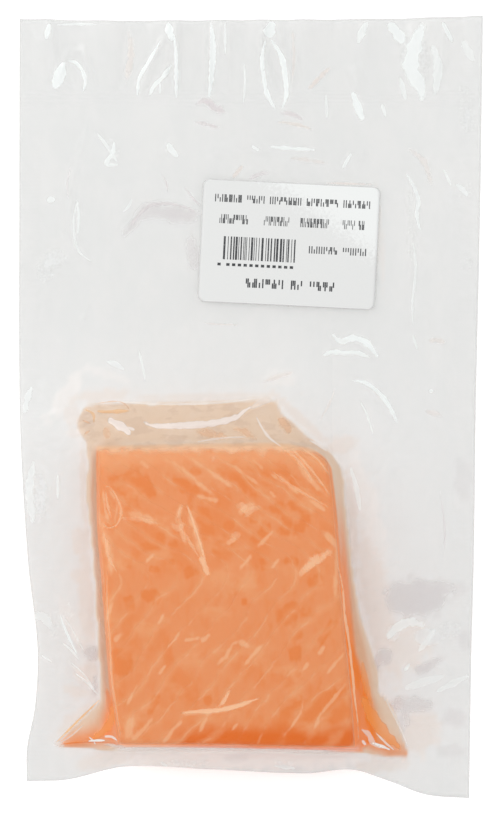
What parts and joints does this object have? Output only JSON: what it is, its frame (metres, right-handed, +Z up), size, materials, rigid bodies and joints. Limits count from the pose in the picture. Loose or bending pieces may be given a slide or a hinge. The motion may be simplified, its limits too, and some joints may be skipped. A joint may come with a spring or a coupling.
{
  "type": "vacuum pack of a salmon portion",
  "caption": "Clear vacuum-sealed bag lying flat, with a skin-on salmon portion sealed tight in its lower half and a plain scale label stuck on the empty upper half",
  "frame": {"origin": "on the table, under the middle of the pack's bounding box", "axes": "+Z up, the shown side; +Y along the bag towards its mouth, its longest extent; +X to the right seen from above"},
  "size_m": [0.1525, 0.257, 0.026],
  "materials": {
    "salmon": "moist raw salmon flesh",
    "film": "clear glossy film",
    "label": "smooth thermal paper"
  },
  "bodies": {
    "root": {"salmon_portion": "salmon", "bag": "film", "label": "label"}
  },
  "joints": []
}
